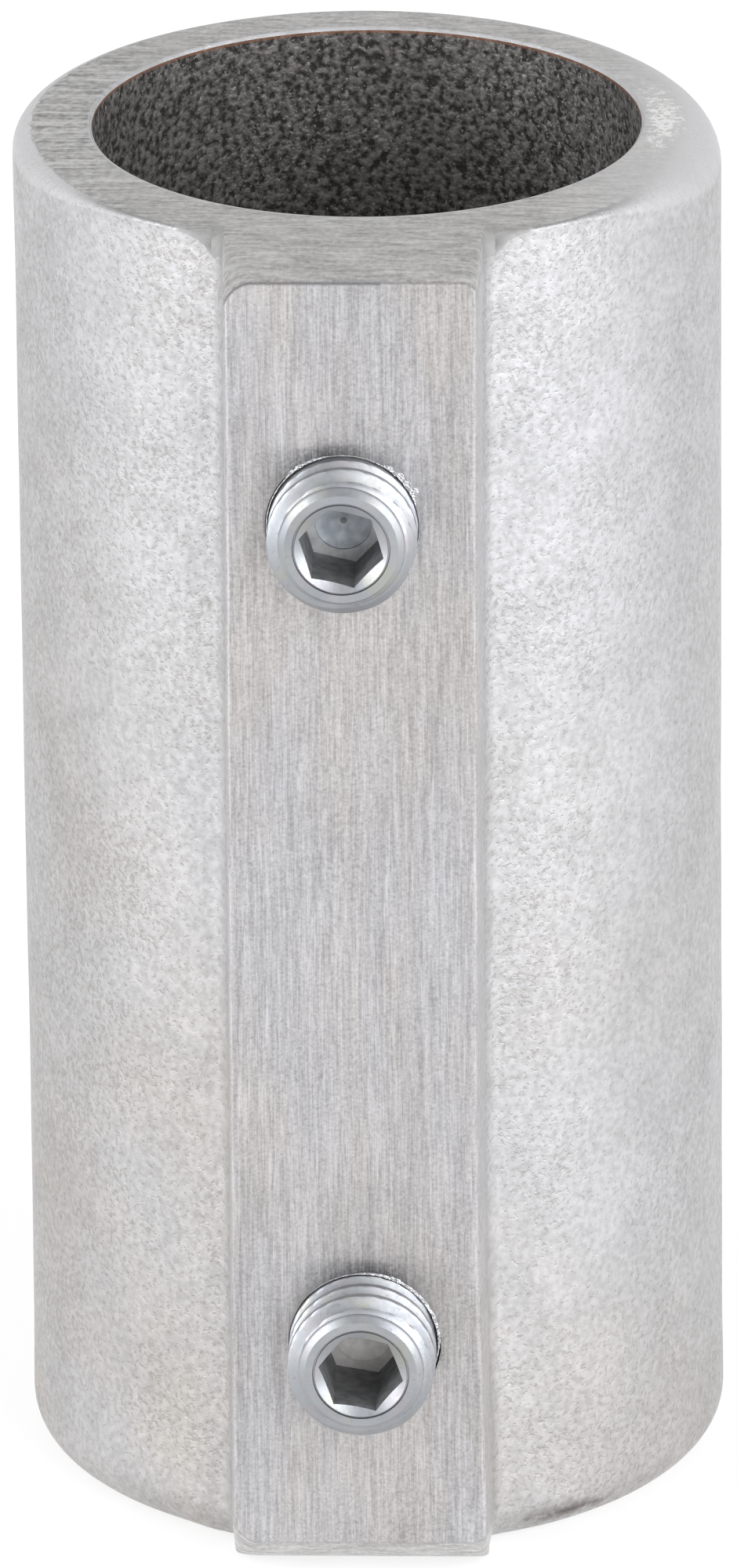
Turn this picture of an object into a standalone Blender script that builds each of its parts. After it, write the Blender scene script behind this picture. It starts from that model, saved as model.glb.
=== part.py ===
"""Straight structural pipe coupling with two set screws.

A cast aluminium sleeve slips over the ends of two 1 inch nominal pipes that meet inside it.
A raised flat rib runs down the front of the sleeve and carries two tapped holes, one for each
pipe. A hex socket set screw in each hole grips its pipe. Metres, +Z up along the bore. The sleeve
stands on Z = 0, and X = Y = 0 is the centre of the whole object's outer box.
"""

import math

import bmesh
import bpy

MM = 0.001

# Sleeve: a round tube for 33.4 mm pipe, with rounded outer rims.
LENGTH = 91.0 * MM
OUTER_RADIUS = 22.75 * MM
BORE_RADIUS = 17.75 * MM
BORE_CHAMFER = 0.25 * MM
TOP_ROUND = 2.2 * MM            # outer rim of the upper end, away from the rib
TOP_ROUND_AT_RIB = 0.6 * MM     # the same rim where it runs into the rib
BOTTOM_ROUND = 2.8 * MM
ROUND_FADE_DEG = (24.0, 70.0)   # angles from the rib between which the upper rim round grows

# Rib: a flat pad on the front (-Y) side of the sleeve, full length.
RIB_FACE = 27.3 * MM            # distance of the flat from the bore axis
RIB_HALF_WIDTH = 7.95 * MM      # at the flat, across the sharp corners
RIB_CORNER = 0.4 * MM
RIB_DRAFT = math.radians(3.0)   # casting draft of the rib's two side walls
RIB_FILLET = 1.6 * MM           # between a side wall and the round sleeve
RIB_TOP_DROP = 1.0 * MM         # how far the rib's upper end rolls off at the flat
RIB_BOTTOM_DROP = 2.2 * MM      # the same at the lower end

# Set screws: 3/8-16 UNC, 1/2 inch long, 3/16 inch socket, cup point.
PITCH = 25.4 * MM / 16.0
MAJOR_RADIUS = 9.5 * MM / 2.0
THREAD_DEPTH = 0.6134 * PITCH
SCREW_LENGTH = 12.7 * MM
FACE_RADIUS = 3.6 * MM          # flat outer end, inside its 45 degree chamfer
SOCKET_MOUTH_RADIUS = 2.95 * MM
SOCKET_MOUTH_SLOPE = 0.58       # depth over radius of the countersink at the socket's mouth
HEX_ACROSS_FLATS = 4.7625 * MM
PILOT_RADIUS = 1.8 * MM
PILOT_DEPTH = 0.25 * MM         # straight part of the pilot hole below the hexagon
PILOT_CONE = 0.35 * MM
CUP_RADIUS = 2.45 * MM
CUP_DEPTH = 1.1 * MM
HOLE_CLEARANCE = 0.09 * MM      # radial, between the screw's crests and the plain hole's wall

# Each screw: sideways offset, height of its axis, how far it stands proud of the flat, turn of its
# hexagon about the screw's axis, and depth of its hexagon.
SCREWS = {
    "upper_set_screw": (-0.8 * MM, 73.65 * MM, 3.9 * MM, math.radians(-16.5), 4.7 * MM),
    "lower_set_screw": (-0.05 * MM, 17.35 * MM, 5.0 * MM, math.radians(-20.0), 6.2 * MM),
}

# The bore axis lies behind the middle of the outer box, because the rib and screws stand forward.
MOST_PROUD = max(screw[2] for screw in SCREWS.values())
AXIS_Y = (RIB_FACE + MOST_PROUD - OUTER_RADIUS) / 2.0

ARC_STEPS = 60                  # facets round the sleeve, outside the rib
FLAT_STEPS = 8
ROUND_STEPS = 3
COLUMNS = 24                    # facets round a screw, a multiple of 6 for its hexagon
HOLE_FACETS = 48


def clear_scene():
    """Remove every object, mesh and material that the file opens with."""
    for item in list(bpy.data.objects):
        bpy.data.objects.remove(item, do_unlink=True)
    for mesh in list(bpy.data.meshes):
        bpy.data.meshes.remove(mesh)
    for material in list(bpy.data.materials):
        bpy.data.materials.remove(material)


def metal(name, colour, roughness, metallic):
    """Principled BSDF material with one colour."""
    material = bpy.data.materials.new(name)
    material.use_nodes = True
    shader = material.node_tree.nodes["Principled BSDF"]
    shader.inputs["Base Color"].default_value = (*colour, 1.0)
    shader.inputs["Roughness"].default_value = roughness
    shader.inputs["Metallic"].default_value = metallic
    return material


def arc(centre, radius, start, end, steps):
    """Points from angle start to angle end on a circle, both ends included."""
    points = []
    for step in range(steps + 1):
        angle = start + (end - start) * step / steps
        points.append((centre[0] + radius * math.cos(angle), centre[1] + radius * math.sin(angle)))
    return points


def smooth_step(value, low, high):
    """0 below low, 1 above high, and an S curve between them."""
    share = min(max((value - low) / (high - low), 0.0), 1.0)
    return share * share * (3.0 - 2.0 * share)


def right_wall():
    """Right side of the rib in plan, from the flat's corner round the fillet to the sleeve.

    The wall is the straight line with unit normal n that passes through the flat's sharp corner.
    The fillet's centre is one fillet radius off that line and off the sleeve's circle.
    """
    normal = (math.cos(RIB_DRAFT), -math.sin(RIB_DRAFT))
    along = (-math.sin(RIB_DRAFT), -math.cos(RIB_DRAFT))
    reach = RIB_HALF_WIDTH * normal[0] - RIB_FACE * normal[1]
    corner_y = -(RIB_FACE - RIB_CORNER)
    corner_x = (reach - RIB_CORNER + corner_y * -normal[1]) / normal[0]
    corner = arc((corner_x, corner_y), RIB_CORNER, -math.pi / 2.0, -RIB_DRAFT, 2)
    off_wall = reach + RIB_FILLET
    slide = math.sqrt((OUTER_RADIUS + RIB_FILLET) ** 2 - off_wall ** 2)
    centre = (off_wall * normal[0] + slide * along[0], off_wall * normal[1] + slide * along[1])
    wall_angle = math.pi - RIB_DRAFT
    sleeve_angle = math.atan2(-centre[1], -centre[0])
    return corner + arc(centre, RIB_FILLET, wall_angle, sleeve_angle, 3)


def plan_outline():
    """Outer outline of the sleeve and its rib in plan, counterclockwise from the flat's middle."""
    right = right_wall()
    left = [(-x, y) for x, y in reversed(right)]
    start = math.atan2(right[-1][1], right[-1][0])
    sleeve = arc((0.0, 0.0), OUTER_RADIUS, start, math.pi - start, ARC_STEPS)[1:-1]
    half = right[0][0]
    flat = [(-half + 2.0 * half * step / FLAT_STEPS, -RIB_FACE) for step in range(1, FLAT_STEPS)]
    return right + sleeve + left + flat


def rim_round(x, y, top):
    """Radius of the outer rim's round at a point; the upper rim's shrinks towards the rib."""
    if not top:
        return BOTTOM_ROUND
    angle = math.degrees(math.atan2(abs(x), -y))
    return TOP_ROUND_AT_RIB + (TOP_ROUND - TOP_ROUND_AT_RIB) * smooth_step(angle, *ROUND_FADE_DEG)


def rim_ring(outline, share, top):
    """Outline drawn in as it passes over an outer rim; share runs from 0, the wall, to 1, the end.

    On the round sleeve the rim is a quarter circle. On the rib it is a gentle roll: the height falls
    off with the square of the distance from where the sleeve's own radius ends.
    """
    turn = share * math.pi / 2.0
    root = min(-y for x, y in right_wall())
    pad = RIB_FACE - root
    ring = []
    for x, y in outline:
        on_rib = 0.0
        if abs(x) < 0.4 * OUTER_RADIUS:
            on_rib = min(max((-y - root) / pad, 0.0), 1.0)
        size = rim_round(x, y, top)
        drop = RIB_TOP_DROP if top else RIB_BOTTOM_DROP
        inward = size * (1.0 - math.cos(turn)) * (1.0 - on_rib) / OUTER_RADIUS
        fall = size * (1.0 - math.sin(turn)) * (1.0 - on_rib) + drop * (1.0 - share) ** 2 * on_rib
        height = LENGTH - fall if top else fall
        ring.append((x * (1.0 - inward), y * (1.0 - inward) + pad * share * on_rib, height))
    return ring


def bore_ring(outline, radius, height):
    """Circle on the bore's wall, with a point facing each point of the outline."""
    ring = []
    for x, y in outline:
        angle = math.atan2(y, x)
        ring.append((radius * math.cos(angle), radius * math.sin(angle), height))
    return ring


def skin(rings, ends_meet=False):
    """New bmesh: a strip of quads between each ring and the next; a ring of one point is an apex."""
    model = bmesh.new()
    made = [[model.verts.new(point) for point in ring] for ring in rings]
    pairs = list(zip(made, made[1:]))
    if ends_meet:
        pairs.append((made[-1], made[0]))
    for lower, upper in pairs:
        count = max(len(lower), len(upper))
        for step in range(count):
            after = (step + 1) % count
            corners = [lower[step % len(lower)], lower[after % len(lower)],
                       upper[after % len(upper)], upper[step % len(upper)]]
            model.faces.new(list(dict.fromkeys(corners)))
    bmesh.ops.recalc_face_normals(model, faces=model.faces)
    return model


def add_object(name, model, material, location=(0.0, 0.0, 0.0), turn=0.0):
    """Put a bmesh into a named object, smooth except along its sharp edges."""
    mesh = bpy.data.meshes.new(name)
    model.to_mesh(mesh)
    model.free()
    mesh.shade_smooth()
    mesh.set_sharp_from_angle(angle=math.radians(32.0))
    item = bpy.data.objects.new(name, mesh)
    item.location = location
    item.rotation_euler = (0.0, turn, 0.0)
    bpy.context.scene.collection.objects.link(item)
    if material:
        mesh.materials.append(material)
    return item


def hole_cutter(name, x, z):
    """Round cutter through the rib's whole wall, where a screw goes."""
    model = bmesh.new()
    radius = MAJOR_RADIUS + HOLE_CLEARANCE
    depth = RIB_FACE - BORE_RADIUS + 8.0 * MM
    bmesh.ops.create_cone(model, cap_ends=True, segments=HOLE_FACETS, radius1=radius, radius2=radius,
                          depth=depth)
    cutter = add_object(name, model, None, (x, AXIS_Y - (RIB_FACE + BORE_RADIUS) / 2.0, z))
    cutter.rotation_euler = (math.pi / 2.0, 0.0, 0.0)
    cutter.hide_render = True
    cutter.display_type = "WIRE"
    return cutter


def add_sleeve(material):
    """Sleeve: skinned over its outer outline and bore, then drilled for the two screws."""
    outline = plan_outline()
    shares = [step / ROUND_STEPS for step in range(ROUND_STEPS + 1)]
    rings = [rim_ring(outline, share, False) for share in reversed(shares)]
    rings += [rim_ring(outline, share, True) for share in shares]
    rings.append(bore_ring(outline, BORE_RADIUS + BORE_CHAMFER, LENGTH))
    rings.append(bore_ring(outline, BORE_RADIUS, LENGTH - BORE_CHAMFER))
    rings.append(bore_ring(outline, BORE_RADIUS, BORE_CHAMFER))
    rings.append(bore_ring(outline, BORE_RADIUS + BORE_CHAMFER, 0.0))
    sleeve = add_object("coupling_sleeve", skin(rings, ends_meet=True), material, (0.0, AXIS_Y, 0.0))
    for name, (x, z, *rest) in SCREWS.items():
        drill = sleeve.modifiers.new(name + "_hole", "BOOLEAN")
        drill.operation = "DIFFERENCE"
        drill.solver = "EXACT"
        drill.object = hole_cutter(name + "_hole_cutter", x, z)
    return sleeve


def thread_radius(depth, phase):
    """Radius of the thread at a depth below the outer end; phase 0 to 1 is one turn's pitch.

    The crest is an eighth of the pitch and the root a quarter. Both ends are cut by a 45 degree cone.
    """
    crest_end, root_start, root_end = 0.125, 0.4375, 0.6875
    phase = phase % 1.0
    if phase < crest_end:
        cut = 0.0
    elif phase < root_start:
        cut = (phase - crest_end) / (root_start - crest_end)
    elif phase < root_end:
        cut = 1.0
    else:
        cut = (1.0 - phase) / (1.0 - root_end)
    outer_cone = FACE_RADIUS + depth
    tip_cone = CUP_RADIUS + (SCREW_LENGTH - depth)
    return min(MAJOR_RADIUS - THREAD_DEPTH * cut, outer_cone, tip_cone)


def thread_rings():
    """Rings that follow the helix, so that crests and roots stay crisp, ended flat at both ends."""
    edges = (0.0, 0.125, 0.4375, 0.6875)
    turns = math.ceil(SCREW_LENGTH / PITCH)
    rings = []
    for turn in range(-1, turns + 1):
        for edge in edges:
            ring = []
            for column in range(COLUMNS):
                around = column / COLUMNS
                depth = min(max((turn + edge + around) * PITCH, 0.0), SCREW_LENGTH)
                radius = thread_radius(depth, edge)
                ring.append((column, depth, radius))
            rings.append(ring)
    return rings


def screw_point(column, depth, radius):
    """Point of a screw; its axis is +Y, into the sleeve, and the helix is right-handed."""
    angle = 2.0 * math.pi * column / COLUMNS
    return (radius * math.sin(angle), depth, radius * math.cos(angle))


def circle(radius, depth):
    """Ring of a screw at one radius and depth."""
    return [screw_point(column, depth, radius) for column in range(COLUMNS)]


def hexagon(depth_of_radius):
    """Ring on the socket's six walls, at a depth that may follow the distance from the axis."""
    ring = []
    for column in range(COLUMNS):
        angle = 2.0 * math.pi * column / COLUMNS
        from_corner = (angle + math.pi / 6.0) % (math.pi / 3.0) - math.pi / 6.0
        radius = HEX_ACROSS_FLATS / 2.0 / math.cos(math.pi / 6.0 - abs(from_corner))
        ring.append(screw_point(column, depth_of_radius(radius), radius))
    return ring


def add_set_screw(name, material):
    """Set screw: threaded body, chamfered outer end with a hex socket, and a cup point."""
    x, z, proud, turn, hex_depth = SCREWS[name]
    floor = hex_depth + PILOT_DEPTH
    rings = [[(0.0, floor + PILOT_CONE, 0.0)],
             circle(PILOT_RADIUS, floor),
             circle(PILOT_RADIUS, hex_depth),
             hexagon(lambda radius: hex_depth),
             hexagon(lambda radius: (SOCKET_MOUTH_RADIUS - radius) * SOCKET_MOUTH_SLOPE),
             circle(SOCKET_MOUTH_RADIUS, 0.0)]
    rings += [[screw_point(*point) for point in ring] for ring in thread_rings()]
    rings.append([(0.0, SCREW_LENGTH - CUP_DEPTH, 0.0)])
    model = skin(rings)
    bmesh.ops.remove_doubles(model, verts=model.verts, dist=0.00001)
    bmesh.ops.recalc_face_normals(model, faces=model.faces)
    return add_object(name, model, material, (x, AXIS_Y - RIB_FACE - proud, z), turn)


def build():
    clear_scene()
    cast_aluminium = metal("cast_aluminium", (0.62, 0.61, 0.59), 0.55, 0.9)
    add_sleeve(cast_aluminium)
    for name in SCREWS:
        zinc_plate = metal("zinc_plated_steel_" + name, (0.72, 0.74, 0.76), 0.28, 1.0)
        add_set_screw(name, zinc_plate)


build()
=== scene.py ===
"""Finished look of a straight pipe coupling: a sand-cast aluminium sleeve and two zinc-plated screws.

The sleeve and both screws are made again here as fine surfaces over the frame's plain solids.
Lengths are metres. The bore runs along +Z and the rib faces -Y.
"""
import math

import bpy
import numpy as np
from mathutils import Matrix, Vector


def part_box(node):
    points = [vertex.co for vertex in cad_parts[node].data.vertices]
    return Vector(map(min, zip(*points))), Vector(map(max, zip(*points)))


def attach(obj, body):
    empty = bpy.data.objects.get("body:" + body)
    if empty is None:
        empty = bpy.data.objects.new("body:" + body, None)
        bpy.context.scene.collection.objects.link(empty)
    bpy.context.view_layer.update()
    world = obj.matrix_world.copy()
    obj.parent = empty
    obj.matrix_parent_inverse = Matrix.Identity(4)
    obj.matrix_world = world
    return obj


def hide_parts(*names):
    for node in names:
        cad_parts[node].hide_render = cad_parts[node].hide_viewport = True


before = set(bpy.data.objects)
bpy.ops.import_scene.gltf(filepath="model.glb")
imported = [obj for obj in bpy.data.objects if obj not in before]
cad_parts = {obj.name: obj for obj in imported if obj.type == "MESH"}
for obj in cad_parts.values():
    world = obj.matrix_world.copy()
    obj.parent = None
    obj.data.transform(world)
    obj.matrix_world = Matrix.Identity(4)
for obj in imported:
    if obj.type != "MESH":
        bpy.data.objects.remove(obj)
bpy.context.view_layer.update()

MM = 0.001
TURN = 2.0 * math.pi

# Sleeve, from the frame.
SLEEVE_LOW, SLEEVE_HIGH = (np.array(corner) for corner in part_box("coupling_sleeve"))
LENGTH = SLEEVE_HIGH[2] - SLEEVE_LOW[2]
OUTER_RADIUS = (SLEEVE_HIGH[0] - SLEEVE_LOW[0]) / 2.0
AXIS_Y = SLEEVE_HIGH[1] - OUTER_RADIUS
RIB_FACE = AXIS_Y - SLEEVE_LOW[1]
MIDDLE = np.array([0.0, AXIS_Y, LENGTH / 2.0])

# Sleeve, own sizes.
BORE_RADIUS = 17.65 * MM
BORE_CHAMFER = 0.17 * MM
TOP_ROUND = 2.2 * MM            # at the back; the left side is rounded less, the right side more
TOP_ROUND_LEFT = 1.6 * MM
TOP_ROUND_RIGHT = 3.0 * MM
TOP_ROUND_AT_RIB = 0.25 * MM
BOTTOM_ROUND = 2.8 * MM
ROUND_FADE = (math.radians(32.0), math.radians(82.0))
RIB_HALF_WIDTH = 7.95 * MM
RIB_CORNER = 0.35 * MM
RIB_DRAFT = math.radians(3.0)
RIB_FILLET = 1.6 * MM
RIB_TOP_DROP = 1.0 * MM
RIB_BOTTOM_DROP = 3.3 * MM
RIB_LEFT_CORNER = 1.8 * MM      # round of the flat's left and right corners, seen from the front
RIB_RIGHT_CORNER = 0.85 * MM
RIB_LEAN = (-0.63 * MM, -0.20 * MM)     # sideways place of the rib at the bottom and at the top
RIB_FLARE = 0.5 * MM            # extra width of the rib's right side at the bottom
FLARE_TOP = 27.0 * MM
CAST_WAVE = 0.05 * MM           # slow unevenness of the cast skin, which fades out near the ends
WAVE_FADE = (3.0 * MM, 9.0 * MM)
RIB_ZONE = 0.4 * OUTER_RADIUS   # half width of the front strip that holds the rib and its fillets
GROUND_DIP = 1.7 * MM           # how far the linished end face rolls down beside the rib
ROLL_START = math.radians(30.5)
ROLL_END = math.radians(23.5)
PATCH_RADIUS = 19.2 * MM        # rough bright patch on the right of the top face

# Set screws, own sizes; their places come from the frame.
SCREW_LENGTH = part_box("upper_set_screw")[1][1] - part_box("upper_set_screw")[0][1]
PITCH = 25.4 * MM / 16.0
THREAD_DEPTH = 0.6134 * PITCH
MAJOR_RADIUS = 4.75 * MM
FACE_RADIUS = 3.6 * MM
SOCKET_MOUTH_RADIUS = 2.95 * MM
SOCKET_MOUTH_SLOPE = 0.58
HEX_ACROSS_FLATS = 4.7625 * MM
MOUTH_GROOVE = 0.17 * MM        # fine groove round the mouth of the socket
PILOT_RADIUS = 1.8 * MM
CUP_RADIUS = 2.45 * MM
CUP_DEPTH = 1.1 * MM
HOLE_RADIUS = 4.80 * MM
HOLE_PATCH_HALF = 6.35 * MM     # half side of the square of the sleeve's grid that a hole replaces

# Each screw: body that it rides on, turn and depth of its hexagon, step and cone of its pilot hole,
# tones of its pilot and of the floor round it, direction in which its hole's thread opens at the
# flat and how deep that thread is, direction of the darker patch on the flat there, and the torn burrs
# round the hole as (direction, half width, height in mm, reach in mm, number of teeth in a full turn).
# Directions turn clockwise from straight up, seen from the front.
SCREWS = {
    "upper_set_screw": {
        "body": "upper_screw", "turn": math.radians(-16.5), "hex_depth": 4.7 * MM,
        "pilot": (0.12 * MM, 0.30 * MM), "floor": "blue", "rim": "pale",
        "opening": math.radians(-55.0), "gap": 0.15 * MM, "mouth_darkening": math.radians(-14.0),
        "burrs": [(50.0, 20.0, 0.13, 0.62, 43.0), (-30.0, 14.0, 0.12, 0.30, 19.0)]},
    "lower_set_screw": {
        "body": "lower_screw", "turn": math.radians(-20.0), "hex_depth": 6.2 * MM,
        "pilot": (0.03 * MM, 0.10 * MM), "floor": "rose", "rim": "rose",
        "opening": math.radians(62.0), "gap": 0.24 * MM, "mouth_darkening": math.radians(4.0),
        "burrs": [(46.0, 42.0, 0.12, 0.24, 71.0)]},
}

# Darkest and lightest colour of each tone of the sockets' floors and of their walls; the walls' dark
# colours are partly painted shade of the deep socket.
FLOOR_SHADES = {
    "blue": ((0.36, 0.39, 0.43, 1), (0.48, 0.51, 0.55, 1)),
    "pale": ((0.56, 0.565, 0.58, 1), (0.72, 0.725, 0.735, 1)),
    "rose": ((0.74, 0.71, 0.69, 1), (0.88, 0.85, 0.84, 1)),
}
SOCKET_WALL_TONES_AND_SHADE = ((0.17, 0.175, 0.178, 1), (0.25, 0.255, 0.258, 1))

# The sleeve's grid. Its rows run from the lower edge of the bore out over the bottom face, up the
# wall, in over the top face and down the bore.
RIM_SHARES = np.linspace(0.0, 1.0, 11)
FACE_SHARES = np.linspace(0.0, 1.0, 7)[1:-1, None, None]
WALL_SHARES = np.linspace(0.0, 1.0, 117)[:, None]
BOTTOM_RIM_ROWS = np.arange(len(RIM_SHARES) - 1) + 1 + len(FACE_SHARES)
WALL_ROWS = np.arange(len(WALL_SHARES)) + BOTTOM_RIM_ROWS[-1] + 1
TOP_RIM_ROWS = np.arange(len(RIM_SHARES) - 1) + WALL_ROWS[-1] + 1
TOP_EDGE_ROW = TOP_RIM_ROWS[-1] + len(FACE_SHARES) + 1
BORE_ROWS = np.arange(len(WALL_SHARES)) + TOP_EDGE_ROW + 2
MARKS = ("end_ground", "rib_ground", "bore_edge_highlight", "rough_patch", "flash", "mouth_darkening", "rim_painted_shade",
         "rim_painted_highlight", "painted_edge_shadow", "rolled_painted_shade")

# Stage: lamps are (name, azimuth from the front in degrees, height over the middle, size, power).
WORLD_STRENGTH = 0.715
FLOOR_COLOUR = (0.27, 0.27, 0.27, 1.0)
FLOOR_GLOW = 0.73
LAMP_DISTANCE = 0.8
LAMP_COLOUR = (0.97, 0.98, 1.0)
LAMPS = [
    ("left_softbox", -60.0, 0.15, (0.3, 0.9), 7.6),
    ("right_softbox", 60.0, 0.15, (0.3, 0.9), 6.5),
    ("front_softbox", 30.0, 0.15, (0.3, 0.9), 3.6),
]


# ---------------------------------------------------------------- meshes

def smooth_step(value, low, high):
    """S curve: 0 below low, 1 above high, share squared times (3 minus twice the share) between."""
    share = np.clip((value - low) / (high - low), 0.0, 1.0)
    return share * share * (3.0 - 2.0 * share)


def add_piece(name, points, faces, materials, face_material=None, values=None, sharp=32.0):
    """Named mesh object at the origin, smooth except along edges sharper than the given degrees."""
    mesh = bpy.data.meshes.new(name)
    mesh.from_pydata(points.tolist(), [], [face for block in faces for face in block.tolist()])
    mesh.validate()
    for material in materials:
        mesh.materials.append(material)
    if face_material is not None:
        mesh.polygons.foreach_set("material_index", face_material.astype(np.int32))
    for key, value in (values or {}).items():
        mesh.attributes.new(key, "FLOAT", "POINT").data.foreach_set("value", value.astype(np.float32))
    mesh.shade_smooth()
    mesh.set_sharp_from_angle(angle=math.radians(sharp))
    piece = bpy.data.objects.new(name, mesh)
    bpy.context.scene.collection.objects.link(piece)
    return piece


def grid_faces(index):
    """Quads between neighbouring rows and columns of an array of point numbers, closed round."""
    after = np.roll(index, -1, axis=1)
    return np.stack([index[:-1], after[:-1], after[1:], index[1:]], axis=-1).reshape(-1, 4)


# ---------------------------------------------------------------- sleeve

def arc(centre, radius, start, end, steps):
    """Points centre + radius * (cos, sin) of angles from start to end."""
    angle = np.linspace(start, end, steps)
    return np.stack([centre[0] + radius * np.cos(angle), centre[1] + radius * np.sin(angle)], axis=1)


def plan_outline():
    """Outer outline in plan about the bore axis, counterclockwise from the flat's right corner.

    The right half is a corner arc, a straight drafted wall, a fillet arc and half of the sleeve's
    circle; the left half is its mirror image. Returns the points and the first column of the flat.
    """
    normal = np.array([math.cos(RIB_DRAFT), -math.sin(RIB_DRAFT)])
    along = np.array([-math.sin(RIB_DRAFT), -math.cos(RIB_DRAFT)])
    reach = normal @ np.array([RIB_HALF_WIDTH, -RIB_FACE])
    corner_y = -(RIB_FACE - RIB_CORNER)
    corner = np.array([(reach - RIB_CORNER - normal[1] * corner_y) / normal[0], corner_y])
    slide = math.sqrt((OUTER_RADIUS + RIB_FILLET) ** 2 - (reach + RIB_FILLET) ** 2)
    centre = (reach + RIB_FILLET) * normal + slide * along
    corner_arc = arc(corner, RIB_CORNER, -math.pi / 2.0, -RIB_DRAFT, 6)
    fillet = arc(centre, RIB_FILLET, math.pi - RIB_DRAFT, math.atan2(-centre[1], -centre[0]), 9)
    steps = np.linspace(0.0, 1.0, 12)[1:-1, None]
    wall = corner_arc[-1] * (1.0 - steps) + fillet[0] * steps
    right = np.concatenate([corner_arc, wall, fillet])
    start = math.atan2(right[-1, 1], right[-1, 0])
    sleeve = arc((0.0, 0.0), OUTER_RADIUS, start, math.pi - start, 180)[1:-1]
    left = right[::-1] * np.array([-1.0, 1.0])
    flat_x = np.linspace(-right[0, 0], right[0, 0], 46)[1:-1]
    flat = np.stack([flat_x, np.full_like(flat_x, -RIB_FACE)], axis=1)
    return np.concatenate([right, sleeve, left, flat]), len(right) * 2 + len(sleeve)


def from_rib(points):
    """Angle round the bore from the rib's middle: negative on the left, 0 to pi either way."""
    return np.arctan2(points[:, 0], -points[:, 1])


def on_rib(outline):
    """0 on the round sleeve, rising to 1 at the flat with the distance forward of the fillets' root.

    Returns these shares and the root's distance forward of the bore axis.
    """
    front = (np.abs(outline[:, 0]) < RIB_ZONE) & (outline[:, 1] < 0.0)
    root = np.min(-outline[front, 1])
    return np.where(front, np.clip((-outline[:, 1] - root) / (RIB_FACE - root), 0.0, 1.0), 0.0), root


def beside_rib(angle):
    """Quarter-circle curve of the angle from the rib's middle: 0 beyond ROLL_START, 1 within ROLL_END."""
    share = np.clip((ROLL_START - angle) / (ROLL_START - ROLL_END), 0.0, 1.0)
    return 1.0 - np.sqrt(1.0 - share ** 2)


def rim(outline, shares, top):
    """Rows over an outer rim, from share 0 at the wall to share 1 at the end face.

    On the round sleeve a row is the outline drawn in by size * (1 - cos) and lowered by
    size * (1 - sin) of a quarter turn. On the rib it moves straight back and its height falls off
    with the square of the distance. The flat's own corners are rounded seen from the front. Close
    beside the rib the top face rolls down too, by GROUND_DIP more, with the same quarter turn but
    straight back.
    """
    rib, root = on_rib(outline)
    signed = from_rib(outline)
    angle = np.abs(signed)
    if top:
        sideways = np.where(signed < 0.0, TOP_ROUND_LEFT, TOP_ROUND_RIGHT) - TOP_ROUND
        away = TOP_ROUND + sideways * np.sin(angle) - TOP_ROUND_AT_RIB
        size = TOP_ROUND_AT_RIB + away * smooth_step(angle, *ROUND_FADE)
        roll = (GROUND_DIP - TOP_ROUND_AT_RIB) * beside_rib(angle)
        drop = RIB_TOP_DROP
    else:
        size = np.full_like(angle, BOTTOM_ROUND)
        roll = np.zeros_like(angle)
        drop = RIB_BOTTOM_DROP
    reach = np.where(outline[:, 0] < 0.0, RIB_LEFT_CORNER, RIB_RIGHT_CORNER)
    over = np.clip((np.abs(outline[:, 0]) - RIB_HALF_WIDTH + reach) / reach, 0.0, 1.0)
    corner = 1.1 * reach * (1.0 - np.sqrt(1.0 - 0.98 * over ** 2)) * rib ** 3
    turn = shares[:, None] * math.pi / 2.0
    inward = size * (1.0 - np.cos(turn)) * (1.0 - rib) / OUTER_RADIUS
    back = (RIB_FACE - root) * shares[:, None] * rib
    back = back + roll * (1.0 - np.cos(turn)) * (1.0 - smooth_step(rib, 0.0, 0.26))
    flatten = (1.0 - shares[:, None]) ** 2
    fall = (size + roll) * (1.0 - np.sin(turn)) * (1.0 - rib) + (drop * rib + corner) * flatten
    rows = np.empty((len(shares), len(outline), 3))
    rows[..., 0] = outline[:, 0] * (1.0 - inward)
    rows[..., 1] = outline[:, 1] * (1.0 - inward) + back
    rows[..., 2] = LENGTH - fall if top else fall
    return rows


def lean(outline, heights):
    """Sideways displacement of the rib: a straight line of the height, plus a flare low on the right.

    The rib and its fillets move along X. The sleeve beside them moves with them, less and less up to
    60 degrees away, and follows its own circle.
    """
    angle = np.abs(from_rib(outline))
    fade = 1.0 - smooth_step(angle, math.radians(27.0), math.radians(60.0))
    slope = outline[:, 0] / np.maximum(-outline[:, 1], 0.3 * OUTER_RADIUS)
    follow = slope * smooth_step(angle, math.radians(25.0), math.radians(34.0))
    direction = np.stack([fade, fade * follow], axis=1)
    amount = RIB_LEAN[0] + (RIB_LEAN[1] - RIB_LEAN[0]) * heights / LENGTH
    right = np.clip(outline[:, 0] / RIB_HALF_WIDTH, 0.0, 1.0)
    amount = amount + RIB_FLARE * right * smooth_step(heights, FLARE_TOP, 2.0 * MM)
    return direction * amount[..., None]


def bore_angles(outline):
    """Angle round the bore that faces each outline point.

    In front of the rib it keeps the outline's own sideways place, so that a hole's window is a
    rectangle on both sides of the wall. Round the back it shares out the rest evenly.
    """
    angle = from_rib(outline)
    front = (np.abs(outline[:, 0]) < RIB_ZONE) & (outline[:, 1] < 0.0)
    edge_out = np.max(np.abs(angle[front]))
    edge_in = math.asin(np.max(np.abs(outline[front, 0])) / BORE_RADIUS)
    straight = np.arcsin(np.clip(outline[:, 0] / BORE_RADIUS, -1.0, 1.0))
    spread = edge_in + (math.pi - edge_in) * (np.abs(angle) - edge_out) / (math.pi - edge_out)
    return np.where(front, straight, np.sign(angle) * spread)


def bore_row(angles, radius, height):
    """Row round the bore: radius * (sin, -cos) of the angles, at a height."""
    return np.stack([radius * np.sin(angles), -radius * np.cos(angles),
                     np.broadcast_to(height, angles.shape)], axis=1)


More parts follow.
